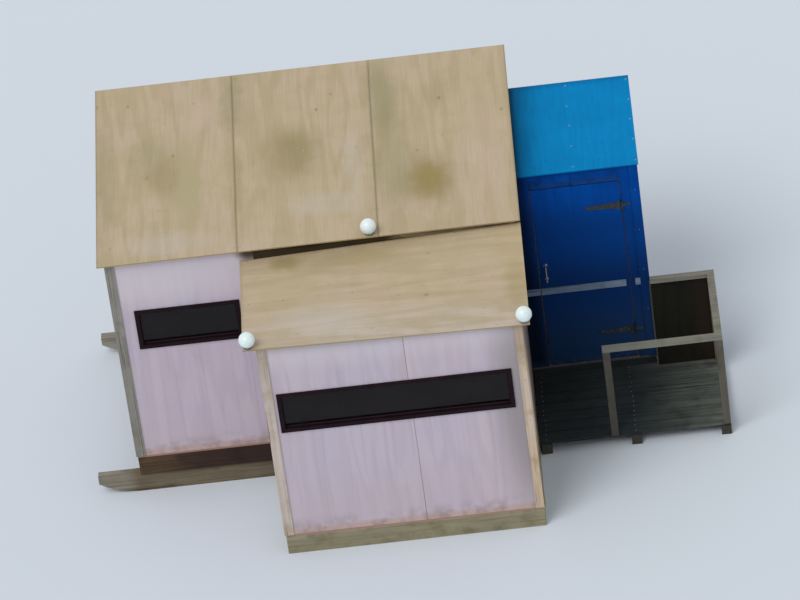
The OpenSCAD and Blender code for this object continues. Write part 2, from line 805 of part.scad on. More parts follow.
// Globe lamp, standing on z = 0: a hollow globe whose open neck sits in a holder's ring
module lamp() {
  difference() {
    cylinder(h = holder_t + ring_h, r = neck_r + seat_gap + shell_t);
    translate([0, 0, holder_t]) cylinder(h = ring_h + 1, r = neck_r + seat_gap);
  }
  rotate_extrude() difference() {
    union() {
      translate([0, globe_z]) circle(globe_r);
      translate([0, holder_t + seat_gap]) square([neck_r, globe_z - holder_t]);
    }
    translate([0, globe_z]) circle(globe_r - shell_t);
    translate([0, holder_t]) square([neck_r - shell_t, globe_z - holder_t]);
    translate([-2 * globe_r, 0]) square([2 * globe_r, 2 * globe_z]);
  }
}

// One lamp stands at the front edge of the main roof, one at each front corner of the bay's
module lamps() {
  x = 2 * (sheet_w + sheet_gap) - eave_side - lamp_joint_gap;
  y = lamp_inset - eave_front;
  color("#f2f0ea") placed() {
    translate([x, y, main_under(y) + ply_t / cos(main_angle) + seat_gap])
      rotate([main_angle, 0, 0]) lamp();
    for (u = [lamp_inset / sheet_l, 1 - lamp_inset / sheet_l])
      on_bay_roof(u, lamp_inset / sheet_w) lamp();
  }
}

skids();
floor_joists();
main_floor();
front_wall();
back_wall();
left_wall();
right_wall();
bay_header();
rafters();
roof_sheet_left();
roof_sheet_middle();
roof_sheet_right();
main_corner_boards();
bay_sills();
bay_floor();
bay_front_wall();
bay_left_wall();
bay_right_wall();
bay_rafters();
bay_roof_sheet();
bay_corner_boards();
slot_frames();
slot_glass();
lobby_sills();
lobby_floor();
lobby_back_wall();
lobby_right_wall();
lobby_front_left();
lobby_front_right();
lobby_front_header();
lobby_rafters();
lobby_roof_sheet();
lobby_corner_boards();
door_leaf();
door_hinges();
hinge_pins();
door_handle();
door_batten();
lobby_batten();
porch_bearers();
porch_deck();
porch_posts();
porch_rails();
porch_panel();
lamps();
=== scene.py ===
import math
import bpy
import numpy as np
from mathutils import Matrix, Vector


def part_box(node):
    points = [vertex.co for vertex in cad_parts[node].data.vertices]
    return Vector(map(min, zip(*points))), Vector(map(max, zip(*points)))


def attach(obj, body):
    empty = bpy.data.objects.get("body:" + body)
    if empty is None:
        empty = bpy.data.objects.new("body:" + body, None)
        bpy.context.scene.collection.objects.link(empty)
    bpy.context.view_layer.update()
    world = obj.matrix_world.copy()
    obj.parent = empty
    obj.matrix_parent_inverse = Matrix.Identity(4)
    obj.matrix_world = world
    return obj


# Looks for a plywood ice fishing hut: camera, light, finishes on the frame's nodes, and the
# small pieces that ride on them. Metres, x to the right, y to the back, z up.
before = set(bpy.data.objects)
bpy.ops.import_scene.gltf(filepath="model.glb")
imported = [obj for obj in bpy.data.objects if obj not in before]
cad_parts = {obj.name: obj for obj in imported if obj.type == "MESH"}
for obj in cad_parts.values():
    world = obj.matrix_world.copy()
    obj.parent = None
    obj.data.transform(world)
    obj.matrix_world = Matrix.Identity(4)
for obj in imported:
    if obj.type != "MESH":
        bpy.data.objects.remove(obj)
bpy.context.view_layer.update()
bpy.context.scene.view_settings.view_transform = "Standard"
print("frame loaded:", len(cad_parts), "nodes")

view = {
    "yaw": -2.709,  # degrees to the right
    "pitch": 33.843,  # degrees down
    "roll": -7.926,
    "aim": (0.0336, 0.0, 1.3443),
    "away": 52.5,  # metres from the hut
    "lens": 269.85,  # mm on a 36 mm sensor
    "sees": 400.0,  # metres
}


def addObject(name, data):
    made = bpy.data.objects.new(name, data)
    bpy.context.scene.collection.objects.link(made)
    return made


def addCamera():
    # forward comes from yaw and pitch; right and up turn about it by the roll
    yaw, pitch, roll = [math.radians(view[k]) for k in ("yaw", "pitch", "roll")]
    forward = np.array([math.sin(yaw) * math.cos(pitch), math.cos(yaw) * math.cos(pitch), -math.sin(pitch)])
    level = np.array([math.cos(yaw), -math.sin(yaw), 0.0])
    upright = np.cross(level, forward)
    matrix = np.eye(4)
    matrix[:3, 0] = math.cos(roll) * level + math.sin(roll) * upright
    matrix[:3, 1] = math.cos(roll) * upright - math.sin(roll) * level
    matrix[:3, 2] = -forward
    matrix[:3, 3] = np.array(view["aim"]) - forward * view["away"]
    camera = addObject("camera", bpy.data.cameras.new("camera"))
    camera.matrix_world = Matrix(matrix.tolist())
    camera.data.lens = view["lens"]
    camera.data.clip_end = view["sees"]
    bpy.context.scene.camera = camera


def toLinear(hexColour):
    # sRGB hex to linear light, with alpha 1
    c = np.array([int(hexColour[i:i + 2], 16) for i in (1, 3, 5)]) / 255.0
    linear = np.where(c <= 0.04045, c / 12.92, ((c + 0.055) / 1.055) ** 2.4)
    return (*[float(v) for v in linear], 1.0)


def addNode(tree, kind, inputs=None, out=0, **settings):
    # one node with its settings; each input is a value or a link; gives back one output
    made = tree.nodes.new(kind)
    for key, value in settings.items():
        setattr(made, key, value)
    for key, value in (inputs or {}).items():
        if isinstance(value, bpy.types.NodeSocket):
            tree.links.new(value, made.inputs[key])
        else:
            made.inputs[key].default_value = value
    return made if out is None else made.outputs[out]


def startFinish(name, sockets):
    # a material with one Principled shader and its constant sockets, and the surface's place
    material = bpy.data.materials.new(name)
    material.use_nodes = True
    tree = material.node_tree
    tree.nodes.clear()
    surface = addNode(tree, "ShaderNodeBsdfPrincipled", sockets)
    addNode(tree, "ShaderNodeOutputMaterial", {"Surface": surface}, out=None)
    return material, tree, surface.node, addNode(tree, "ShaderNodeTexCoord", out="Object")


def linkFinish(tree, shader, colour, roughness=None, relief=None, depth=0.001):
    # the worked-out colour, roughness and relief go to the shader; depth is in metres
    tree.links.new(colour, shader.inputs["Base Color"])
    if roughness is not None:
        tree.links.new(roughness, shader.inputs["Roughness"])
    if relief is not None:
        bump = addNode(tree, "ShaderNodeBump", {"Strength": 0.5, "Distance": depth, "Height": relief})
        tree.links.new(bump, shader.inputs["Normal"])


lighting = {
    "skyLevel": 0.66,  # soft light from all round
    "skyColour": "#F1F4F8",
    "lampLevel": 1.35,  # one wide soft lamp from the upper left
    "lampHeight": 52.0,  # degrees above the floor
    "lampSide": -38.0,  # degrees to the left of the front
    "lampSpread": 34.0,  # degrees, for soft shadow edges
    "floorColour": "#D5DCE3",
    "floorHalf": 150.0,
    "floorLevel": -0.001,
    "floorLines": 9,
}


def addLight():
    # the world lights softly; the camera and mirror-like surfaces see it at strength 1
    world = bpy.data.worlds.new("softSky")
    world.use_nodes = True
    tree = world.node_tree
    tree.nodes.clear()
    path = addNode(tree, "ShaderNodeLightPath", out=None).outputs
    seen = path["Is Camera Ray"]
    for ray in ("Is Transmission Ray", "Is Glossy Ray"):
        seen = addNode(tree, "ShaderNodeMath", {0: seen, 1: path[ray]}, operation="MAXIMUM")
    level = addNode(tree, "ShaderNodeMapRange", {"Value": seen, "To Min": lighting["skyLevel"]})
    sky = addNode(tree, "ShaderNodeBackground",
                  {"Color": toLinear(lighting["skyColour"]), "Strength": level})
    addNode(tree, "ShaderNodeOutputWorld", {"Surface": sky}, out=None)
    bpy.context.scene.world = world
    lamp = bpy.data.lights.new("softLamp", "SUN")
    lamp.energy = lighting["lampLevel"]
    lamp.angle = math.radians(lighting["lampSpread"])
    turn = [math.radians(v) for v in (90.0 - lighting["lampHeight"], 0.0, lighting["lampSide"])]
    addObject("softLamp", lamp).rotation_euler = turn


def putMesh(name, points, faces):
    # a mesh object at the origin from arrays of points and faces
    mesh = bpy.data.meshes.new(name)
    points = np.asarray(points, float).reshape(-1, 3)
    mesh.from_pydata(points.tolist(), [], [list(f) for f in faces])
    mesh.update()
    return addObject(name, mesh)


def gridFaces(rows, cols, copies=1, closed=False):
    # four-cornered faces of grids with rows x cols points, one grid after the other; a closed
    # grid's last column joins its first
    r, c = np.meshgrid(np.arange(rows - 1), np.arange(cols if closed else cols - 1), indexing="ij")
    nextCol = (c + 1) % cols
    one = np.stack([r * cols + c, r * cols + nextCol, (r + 1) * cols + nextCol, (r + 1) * cols + c], -1)
    shift = np.arange(copies)[:, None, None] * rows * cols
    return (one.reshape(1, -1, 4) + shift).reshape(-1, 4)


def addFloor():
    # level grid just under the hut
    half, lines = lighting["floorHalf"], lighting["floorLines"]
    x, y = np.meshgrid(np.linspace(-half, half, lines), np.linspace(-half, half, lines))
    points = np.stack([x, y, np.full_like(x, lighting["floorLevel"])], -1)
    floor = putMesh("floor", points, gridFaces(lines, lines))
    floor.data.materials.append(startFinish("paleFloor", {
        "Roughness": 0.9, "Base Color": toLinear(lighting["floorColour"])})[0])


addCamera()
addLight()
addFloor()
print("camera, light and floor set")


def nodePoints(node):
    # the points of a frame node, each once, to 0.01 mm
    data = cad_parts[node].data
    flat = np.zeros(len(data.vertices) * 3, np.float32)
    data.vertices.foreach_get("co", flat)
    return np.unique(flat.reshape(-1, 3).round(5), axis=0).astype(float)


def sheetShape(node):
    # middle surface of a sheet, flat or evenly warped, by least squares: above the sheet's
    # middle z = a + b x + c y + d x y; with half its thickness and half its extents
    points = nodePoints(node)
    low, high = points[:, :2].min(0), points[:, :2].max(0)
    dx, dy = (points[:, :2] - 0.5 * (low + high)).T
    terms = np.stack([np.ones_like(dx), dx, dy, dx * dy], 1)
    a, b, c, d = np.linalg.lstsq(terms, points[:, 2], rcond=None)[0].tolist()
    half = float(abs(points[:, 2] - terms @ (a, b, c, d)).max())
    middle = [*(0.5 * (low + high)).tolist(), a]
    return {"middle": middle, "slopes": (b, c), "twist": d, "half": half,
            "extent": (0.5 * (high - low)).tolist()}


def wearFinish(node, material):
    # gives a frame node one finish
    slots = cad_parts[node].data.materials
    slots.clear()
    slots.append(material)


def finishOf(node):
    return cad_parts[node].data.materials[0]


def veneerGrain(tree, place, stretch, rings):
    # contour lines of rotary-cut veneer: the sine of rings turns times a slow noise
    slow = addNode(tree, "ShaderNodeMapping", {"Vector": place, "Scale": stretch})
    slow = addNode(tree, "ShaderNodeTexNoise",
                   {"Vector": slow, "Scale": 1.0, "Detail": 2.0, "Roughness": 0.42})
    wave = addNode(tree, "ShaderNodeMath", {0: slow, 1: rings * math.tau}, operation="MULTIPLY")
    wave = addNode(tree, "ShaderNodeMath", {0: wave}, operation="SINE")
    return addNode(tree, "ShaderNodeMapRange", {"Value": wave, "From Min": -0.4},
                   interpolation_type="SMOOTHSTEP")


def mottle(tree, place, stretch, low, high, detail=3.0):
    # noise stretched the wood's or the rain's way: 0 below low, 1 above high
    laid = addNode(tree, "ShaderNodeMapping", {"Vector": place, "Scale": stretch})
    noise = addNode(tree, "ShaderNodeTexNoise",
                    {"Vector": laid, "Scale": 1.0, "Detail": detail, "Roughness": 0.55})
    return addNode(tree, "ShaderNodeMapRange", {"Value": noise, "From Min": low, "From Max": high},
                   interpolation_type="SMOOTHSTEP")


def fadeAlong(tree, place, axis, start, end):
    # distance along an axis, turned to a smooth 0 at start and 1 at end
    reach = addNode(tree, "ShaderNodeVectorMath", {0: place, 1: axis}, out="Value", operation="DOT_PRODUCT")
    return addNode(tree, "ShaderNodeMapRange", {"Value": reach, "From Min": start, "From Max": end},
                   interpolation_type="SMOOTHSTEP")


def roundPatch(tree, place, middle, radii):
    # 1 in the middle of an oval, fading to 0 at its rim
    near = addNode(tree, "ShaderNodeMapping", {"Vector": place, "Location": middle, "Scale": radii},
                   vector_type="TEXTURE")
    reach = addNode(tree, "ShaderNodeVectorMath", {0: near}, out="Value", operation="LENGTH")
    return addNode(tree, "ShaderNodeMapRange", {"Value": reach, "From Min": 1.0, "From Max": 0.25},
                   interpolation_type="SMOOTHSTEP")


def scatteredKnots(tree, place, stretch, size):
    # round spots: 1 within size of the nearest of random points, 0 a little further out
    laid = addNode(tree, "ShaderNodeMapping", {"Vector": place, "Scale": stretch})
    far = addNode(tree, "ShaderNodeTexVoronoi", {"Vector": laid, "Scale": 1.0}, out="Distance",
                  voronoi_dimensions="2D")
    return addNode(tree, "ShaderNodeMapRange", {"Value": far, "From Min": 1.5 * size, "From Max": size},
                   interpolation_type="SMOOTHSTEP")


def boardTone(tree, place, axis, pitch):
    # one random number for each board: white noise of the board's count along the axis
    reach = addNode(tree, "ShaderNodeVectorMath", {0: place, 1: axis}, out="Value", operation="DOT_PRODUCT")
    count = addNode(tree, "ShaderNodeMath", {0: reach, 1: pitch}, operation="DIVIDE")
    count = addNode(tree, "ShaderNodeMath", {0: count}, operation="FLOOR")
    return addNode(tree, "ShaderNodeTexWhiteNoise", {"W": count}, noise_dimensions="1D")


def layered(tree, base, layers):
    # colours, hex or links, laid one over another: a layer is (colour, amount, mask, mask ...)
    base = toLinear(base) if isinstance(base, str) else base
    for colour, amount, *masks in layers:
        for mask in masks:
            amount = addNode(tree, "ShaderNodeMath", {0: amount, 1: mask}, operation="MULTIPLY")
        colour = toLinear(colour) if isinstance(colour, str) else colour
        base = addNode(tree, "ShaderNodeMix", {0: amount, 6: base, 7: colour}, out=2, data_type="RGBA")
    return base


def fadeLayers(tree, place, fades):
    # layers that deepen along an axis: each fade is (colour, amount, axis, start, end)
    return [(colour, amount, fadeAlong(tree, place, axis, start, end))
            for colour, amount, axis, start, end in fades]


upward, front, back, left, right = (0, 0, 1), (0, -1, 0), (0, 1, 0), (-1, 0, 0), (1, 0, 0)

# Sheathing plywood of the roofs, left raw and greyed by weather: the eye sees wide veneer
# contours, olive and pinkish clouds, knots, round water stains and dirt along the joints
roofPly = {
    "tan": "#BBA98A", "warm": "#C1AC96", "olive": "#ADA07B", "grain": "#A5936E", "knot": "#8E734B",
    "stain": "#8C7B4B", "damp": "#86825C", "ochre": "#8C7C3C", "dirt": "#6E6143", "pale": "#C3BBB2",
    "edgePale": "#BFA77C", "edgeDark": "#8A7350", "under": "#C2A678",
    "veneer": 0.0024,  # thickness of one veneer, 5 to a sheet
    "skin": 0.0011, "skinFade": 0.0005,  # how deep the weather goes
    "dirtStart": 0.018, "dirtFull": 0.003,  # from a joint
    "across": 0.34, "along": 2.6,  # metres over which the contours wander
    "rings": 6.0,
    "ragged": 0.14,  # metres that the patches' rims wander
    # patches of weather: x, y, half width, half depth, colour, amount
    "main": [(-2.00, 0.80, 0.30, 0.42, "damp", 0.26), (-1.86, 0.48, 0.30, 0.38, "stain", 0.40),
             (-0.78, 0.62, 0.38, 0.54, "stain", 0.50), (-0.72, 0.66, 0.24, 0.34, "damp", 0.28),
             (0.40, 0.07, 0.36, 0.50, "stain", 0.55), (0.42, 0.05, 0.22, 0.32, "ochre", 0.60),
             (0.50, 1.23, 0.22, 0.28, "stain", 0.18), (0.06, 1.30, 0.22, 0.70, "damp", 0.46),
             (0.10, 0.40, 0.24, 1.20, "damp", 0.36), (-1.28, 1.45, 0.15, 0.55, "damp", 0.40),
             (-1.26, 0.30, 0.10, 1.00, "ochre", 0.20), (-1.68, 0.30, 0.17, 1.00, "olive", 0.90),
             (-2.40, 0.60, 0.12, 1.40, "damp", 0.26), (-0.47, -0.10, 0.50, 0.22, "pale", 0.30),
             (-1.52, 1.34, 0.24, 0.30, "warm", 0.55), (-1.90, -0.40, 0.56, 0.22, "pale", 0.28),
             (-0.22, 0.45, 0.12, 0.60, "pale", 0.28), (0.92, 0.60, 0.24, 0.90, "warm", 0.40)],
    "bay": [(-0.86, -0.68, 0.20, 0.13, "stain", 0.62), (-0.34, -0.72, 0.62, 0.18, "stain", 0.40),
            (0.57, -0.80, 0.34, 0.16, "olive", 0.45), (-0.52, -1.19, 0.36, 0.18, "warm", 0.40),
            (-0.59, -1.46, 0.60, 0.26, "pale", 0.45), (1.10, -1.30, 0.16, 0.42, "ochre", 0.34)],
    # fades: colour, amount, axis, and the distances along it where they start and are full
    # the first, dark brown along the bay sheet's left edge, is painted shadow
    "bayFades": [("#7F7048", 0.60, left, 1.225, 1.258),
                 ("#B4A375", 0.30, back, -1.20, -0.62),
                 ("#C1B6AE", 0.75, front, 1.16, 1.76)],
}


def sheetPlace(tree, place, shape, longX):
    # coordinates that lie in a sheet: across it, along it, and up from its middle surface
    centred = addNode(tree, "ShaderNodeVectorMath", {0: place, 1: shape["middle"]}, operation="SUBTRACT")
    part = addNode(tree, "ShaderNodeSeparateXYZ", {0: centred}, out=None).outputs
    twist = addNode(tree, "ShaderNodeMath", {0: part["X"], 1: part["Y"]}, operation="MULTIPLY")
    rise = addNode(tree, "ShaderNodeVectorMath", {0: centred, 1: (*shape["slopes"], 0.0)},
                   out="Value", operation="DOT_PRODUCT")
    rise = addNode(tree, "ShaderNodeMath", {0: twist, 1: shape["twist"], 2: rise}, operation="MULTIPLY_ADD")
    up = addNode(tree, "ShaderNodeMath", {0: part["Z"], 1: rise}, operation="SUBTRACT")
    across, along = ("Y", "X") if longX else ("X", "Y")
    return addNode(tree, "ShaderNodeCombineXYZ", {"X": part[across], "Y": part[along], "Z": up})


def rawPlywood(node, seed, patches, fades=(), longX=False):
    look, shape = roofPly, sheetShape(node)
    material, tree, shader, place = startFinish("weatheredPlywood." + node, {"Roughness": 0.82, "IOR": 1.5})
    laid = sheetPlace(tree, place, shape, longX)
    veneer = addNode(tree, "ShaderNodeVectorMath", {0: laid, 1: (seed, 3.0 * seed, 0.0)}, operation="ADD")
    grain = veneerGrain(tree, veneer, (1 / look["across"], 1 / look["along"], 0.0), look["rings"])
    fibre = mottle(tree, veneer, (55.0, 2.5, 1.0), 0.38, 0.72)  # 18 mm, coarser than the 3 mm fibres
    knot = scatteredKnots(tree, veneer, (2.4, 1.5, 1.0), 0.028)
    cloud = mottle(tree, place, (1.3, 1.1, 1.0), 0.36, 0.64)
    small = mottle(tree, place, (5.5, 4.5, 1.0), 0.40, 0.70)
    wander = addNode(tree, "ShaderNodeTexNoise", {"Vector": place, "Scale": 7.0, "Detail": 3.0}, out="Color")
    much = look["ragged"]
    ragged = addNode(tree, "ShaderNodeVectorMath", {0: wander, 1: (much, much, 0.0), 2: place},
                     operation="MULTIPLY_ADD")
    ragged = addNode(tree, "ShaderNodeVectorMath", {0: ragged, 1: (0.5 * much, 0.5 * much, 0.0)},
                     operation="SUBTRACT")
    layers = [("warm", 0.60, cloud), ("olive", 0.40, small), ("grain", 0.34, grain),
              ("grain", 0.30, fibre), ("knot", 0.75, knot, small)]
    reach = [shape["middle"][i] - shape["extent"][i] for i in (0, 1)]
    limit = [shape["middle"][i] + shape["extent"][i] for i in (0, 1)]
    for x, y, wide, deep, colour, amount in patches:
        if reach[0] - wide < x < limit[0] + wide and reach[1] - deep < y < limit[1] + deep:
            layers.append((colour, amount,
                           roundPatch(tree, ragged, (x, y, 0.0), (wide, deep, 1000.0))))
    half = shape["extent"][1 if longX else 0]
    rim = (half - look["dirtStart"], half - look["dirtFull"])
    for side in (1.0, -1.0):
        layers.append(("dirt", 0.40, fadeAlong(tree, laid, (side, 0, 0), *rim)))
    layers = [(look[c], *rest) for c, *rest in layers]
    top = layered(tree, look["tan"], [*fadeLayers(tree, place, fades), *layers])
    ply = addNode(tree, "ShaderNodeSeparateXYZ", {0: laid}, out="Z")
    ply = addNode(tree, "ShaderNodeMath", {0: ply, 1: math.pi / look["veneer"]}, operation="MULTIPLY")
    ply = addNode(tree, "ShaderNodeMath", {0: ply}, operation="SINE")
    ply = addNode(tree, "ShaderNodeMapRange", {"Value": ply, "From Min": -0.3, "From Max": 0.3})
    face = shape["half"] - look["skin"]
    onTop, below = [fadeAlong(tree, laid, (0, 0, way), face, face + look["skinFade"])
                    for way in (1, -1)]
    under = layered(tree, look["under"], [(look["grain"], 0.5, grain)])
    colour = layered(tree, look["edgeDark"], [
        (look["edgePale"], 1.0, ply), (under, 1.0, below), (top, 1.0, onTop)])
    relief = addNode(tree, "ShaderNodeMath", {0: grain, 1: fibre}, operation="ADD")
    linkFinish(tree, shader, colour, relief=relief, depth=0.0012)
    return material


# Latex house paint brushed on plywood: satin, the veneer's contours show through, rain has
# drawn streaks down it and splashed its foot. Old flat paint shines less than its IOR says,
# so the dark ones have a lower specular level. spots: middle, radii, colour, amount;
# reach: how far the paint goes round the face's edge
pinkPaint = {
    "name": "brushedPinkPaint", "body": "#C4B8C4", "patch": "#CBBAC2", "cool": "#BDB5C7",
    "grime": "#8C7B78", "streak": "#A698A2", "chip": "#B8A27C", "grain": "#B2A4AF",
    "grainAmount": 0.26, "streakAmount": 0.28, "roughness": 0.6, "specular": 0.35,
    # the second fade lightens the walls' tops below the eaves: painted light against the shade there
    "fades": [("#C3AFB4", 0.35, upward, 0.95, 0.35), ("#D8D0D5", 0.62, upward, 1.84, 2.12)],
    "spots": [((1.10, -1.72, 1.25), (0.46, 0.30, 1.60), "#948C8C", 0.85),
              # this spot, dark brown on the main front wall beside the bay roof's back left corner, is
              # painted shadow
              ((-1.17, -0.56, 2.39), (0.16, 0.20, 0.14), "#43371F", 0.95)],
    "foot": "#BC9C8E", "footAmount": 0.62, "reach": 0.002,
}
bluePaint = {
    "name": "brushedBluePaint", "body": "#004CA6", "patch": "#00469A", "cool": "#003D8C",
    "grime": "#0A1620", "streak": "#042E66", "chip": "#3A5F90", "grain": "#003C88",
    "grainAmount": 0.25, "streakAmount": 0.40, "roughness": 0.55, "specular": 0.06,
    # darker towards the bottom, partly dirt and partly painted shade of the recess behind the bay; the last
    # fade, near black beside the main room's wall, is painted shade
    "fades": [("#043A7E", 0.90, upward, 2.00, 1.60), ("#082D60", 0.95, upward, 1.50, 1.05),
              ("#1B3558", 0.95, upward, 1.00, 0.40), ("#04070C", 0.80, left, -1.32, -1.17)],
    "spots": [], "foot": "#263C5C", "footAmount": 0.5, "reach": 0.040,
}
pinkPaintDarkAsShade = {  # the pink paint of the right side, darkened and greyed as painted shade; its ochre-brown lower part and dark band under the roof are painted shade as well
    "name": "pinkPaintWithPaintedShade", "body": "#7B7074", "patch": "#837678", "cool": "#736C75",
    "grime": "#3C3524", "streak": "#5A5050", "chip": "#8A7458", "grain": "#6B6164",
    "grainAmount": 0.40, "streakAmount": 0.50, "roughness": 0.8, "specular": 0.15,
    "fades": [("#6E5E42", 0.75, upward, 1.20, 0.45), ("#46443A", 0.70, upward, 1.85, 2.30)],
    "spots": [], "foot": "#5E4E32", "footAmount": 0.6, "reach": 0.002,
}
panelDarkAsShade = {  # near-black brown all round the panel under the far rail: painted shade of the porch's far side
    "name": "panelNearBlackAsShade", "body": "#17180F", "patch": "#1D1A12", "cool": "#131511",
    "grime": "#0E0C09", "streak": "#0F0E0A", "chip": "#5A4630", "grain": "#100F0A",
    "grainAmount": 0.40, "streakAmount": 0.40, "roughness": 0.75, "specular": 0.15,
    "fades": [("#2A1C14", 0.70, right, 2.50, 2.72)],
    "spots": [], "foot": "#231C12", "footAmount": 0.5, "reach": 0.002,
}
bareWood = {"body": "#C2A476", "dark": "#9D7C50"}
paintWear = {  # heights over a wall's foot where its dirt starts and is full
    "splash": (0.20, 0.01), "foot": (0.085, 0.030),
    "edge": 0.0004,  # width of the change from paint to bare wood
}


def paintedPlywood(node, outward, paint):
    # paint on the outer face of a wall and bare wood behind it, or paint all round
    points = nodePoints(node)
    low = float(points[:, 2].min())
    material, tree, shader, place = startFinish(paint["name"] + "." + node, {
        "IOR": 1.47, "Specular IOR Level": paint["specular"]})
    grain = veneerGrain(tree, place, (3.2, 3.2, 0.42), 6.0)
    patch = mottle(tree, place, (1.1, 1.1, 0.9), 0.38, 0.62)
    cool = mottle(tree, place, (1.7, 1.7, 2.3), 0.42, 0.66)
    streak = mottle(tree, place, (26.0, 26.0, 0.9), 0.50, 0.74)  # 40 mm wide runs of rain
    coarse = mottle(tree, place, (9.0, 9.0, 9.0), 0.40, 0.66)
    speck = mottle(tree, place, (60.0, 60.0, 45.0), 0.69, 0.72)  # 10 mm chips
    splash, foot = [fadeAlong(tree, place, upward, low + start, low + full)
                    for start, full in (paintWear["splash"], paintWear["foot"])]
    worn = layered(tree, paint["body"], [
        (paint["patch"], 0.55, patch), (paint["cool"], 0.50, cool),
        (paint["grain"], paint["grainAmount"], grain), (paint["streak"], paint["streakAmount"], streak),
        *fadeLayers(tree, place, paint["fades"]),
        *[(colour, amount, roundPatch(tree, place, middle, radii))
          for middle, radii, colour, amount in paint["spots"]],
        (paint["foot"], paint["footAmount"], foot),
        (paint["grime"], 0.55, splash, coarse), (paint["chip"], 0.8, speck, splash)])
    if outward is None:
        shader.inputs["Roughness"].default_value = paint["roughness"]
        linkFinish(tree, shader, worn, None, grain, 0.0006)
        return material
    outer = float(np.max(points @ np.array(outward))) - paint["reach"]
    wood = layered(tree, bareWood["body"], [
        (bareWood["dark"], 0.55, grain), (bareWood["dark"], 0.3, patch)])
    painted = fadeAlong(tree, place, outward, outer - paintWear["edge"], outer)
    sheen = addNode(tree, "ShaderNodeMapRange",
                    {"Value": painted, "To Min": 0.85, "To Max": paint["roughness"]})
    linkFinish(tree, shader, layered(tree, wood, [(worn, 1.0, painted)]), sheen, grain, 0.0006)
    return material


# Rough-sawn softwood: fine streaks along the grain, dark checks, and blotches of weather.
# along is the axis of the grain, 0 to 2; tones are body, light, dark, dirt and check; boards is
# (axis, pitch) where each board has a tone of its own
timbers = {
    # the skids' dark tones are weathered wood darkened further as painted shade under the floor; the nose
    # that sticks out past the floor is paler
    "skidTimber": {
        "nodes": "skids", "along": 0, "tones": "#6E6350 #7D725E #544936 #443B2D #2C251C",
        "fades": [("#A3A195", 0.85, left, 2.42, 2.58)]},
    "sillTimber": {
        "nodes": "bay_sills", "along": 0, "tones": "#8F8870 #9C9478 #716A4C #5C563C #3E3928",
        "fades": [("#A79C8B", 0.55, upward, 0.13, 0.17)]},
    "wetTimber": {
        "nodes": "lobby_sills", "along": 0, "tones": "#1B2224 #242B2E #13181A #12140F #0A0B0A"},
    "stainedJoist": {
        "nodes": "floor_joists", "along": 0, "tones": "#35241D #422F26 #251813 #211712 #120C09",
        "fades": [("#6A5538", 0.75, left, 1.80, 2.28)]},
    # the deck's near-black tones and its darker left end are painted shade beside the lobby; the pale grey
    # right end is where that painted shade ends
    "deckBoard": {
        "nodes": "porch_deck", "along": 0, "tones": "#222B2D #2D3433 #181D1E #141614 #0A0B0A",
        "roughness": 0.7, "boards": (back, 0.148),
        "fades": [("#12191B", 0.7, left, -1.75, -1.20),
                  ("#6A6E63", 0.85, right, 1.90, 2.75)]},
    "bearerTimber": {
        "nodes": "porch_bearers", "along": 1, "tones": "#3F3E37 #4B4A42 #2E2D28 #25241E #151411"},
    "railTimber": {
        "nodes": "porch_rails", "along": 0, "tones": "#807E72 #8E8C7F #666458 #565347 #36332B",
        "fades": [("#565B66", 0.6, left, -2.45, -1.90)]},
    "postTimber": {
        "nodes": "porch_posts", "along": 2, "tones": "#5E5A4E #6A665A #4A463C #3D3A30 #26231C",
        "fades": [("#2C2F30", 0.8, left, -2.30, -1.90)]},
    "trimBoard": {
        "nodes": "bay_corner_boards", "along": 2, "roughness": 0.6,
        "tones": "#CABCB4 #D2C4BD #A5937B #9C8458 #6D5D42",
        "fades": [("#D3B898", 0.90, right, 0.20, 0.90), ("#AA9B8C", 0.70, upward, 1.55, 1.95),
                  # this last fade darkens the boards' right-facing side: painted shade
                  ("#4A432C", 0.92, right, 1.1036, 1.1046)]},
    "greyTrim": {
        "nodes": "main_corner_boards", "along": 2, "roughness": 0.6,
        "tones": "#8E8B80 #9D9A8F #75706A #6B6459 #48433B"},
    "paleBatten": {
        "nodes": "door_batten lobby_batten", "along": 0,
        "tones": "#6C7F95 #7B8DA1 #54677F #43546B #2B3A4F",
        "fades": [("#8F95A5", 0.55, right, 1.75, 2.00)]},
    "rafterTimber": {
        "nodes": "rafters bay_rafters lobby_rafters", "along": 1,
        "tones": "#C9AE7E #D4BC90 #A98B5C #9A7F56 #6E5635"},
    # the header's near-black tones are painted shadow in the gap under the main roof's edge; the first fade,
    # pale tan towards the right, is painted light against the shade there
    "headerTimber": {
        "nodes": "bay_header", "along": 0, "tones": "#3E331E #483C26 #2C2415 #241D11 #15110A",
        "fades": [("#BCA984", 0.95, right, 0.00, 0.12),
                  ("#BDA377", 1.0, back, -0.556, -0.550)]},
}


def sawnTimber(name, look):
    material, tree, shader, place = startFinish(name, {
        "IOR": 1.5, "Roughness": look.get("roughness", 0.85), "Specular IOR Level": 0.3})
    fine, check = np.full(3, 38.0), np.full(3, 75.0)
    fine[look["along"]], check[look["along"]] = 1.6, 1.1
    streak = mottle(tree, place, tuple(fine), 0.34, 0.68)  # 25 mm, coarser than the rings
    crack = mottle(tree, place, tuple(check), 0.63, 0.70, 2.0)
    cloud = mottle(tree, place, (2.2, 2.2, 2.2), 0.35, 0.65)
    dirt = mottle(tree, place, (6.0, 6.0, 6.0), 0.48, 0.72)
    body, light, dark, dirty, checked = look["tones"].split()
    if "boards" in look:
        body = layered(tree, body, [(light, 1.0, boardTone(tree, place, *look["boards"]))])
    colour = layered(tree, body, [
        *fadeLayers(tree, place, look.get("fades", [])), (light, 0.5, cloud),
        (dark, 0.5, streak), (dirty, 0.45, dirt), (checked, 0.8, crack)])
    relief = addNode(tree, "ShaderNodeMath", {0: streak, 1: crack}, operation="SUBTRACT")
    linkFinish(tree, shader, colour, None, relief, 0.002)
    return material


roofEnamel = {"body": "#0080BC", "light": "#018AC8", "dark": "#006EA8", "dirt": "#015688",
              "shade": "#06293F"}


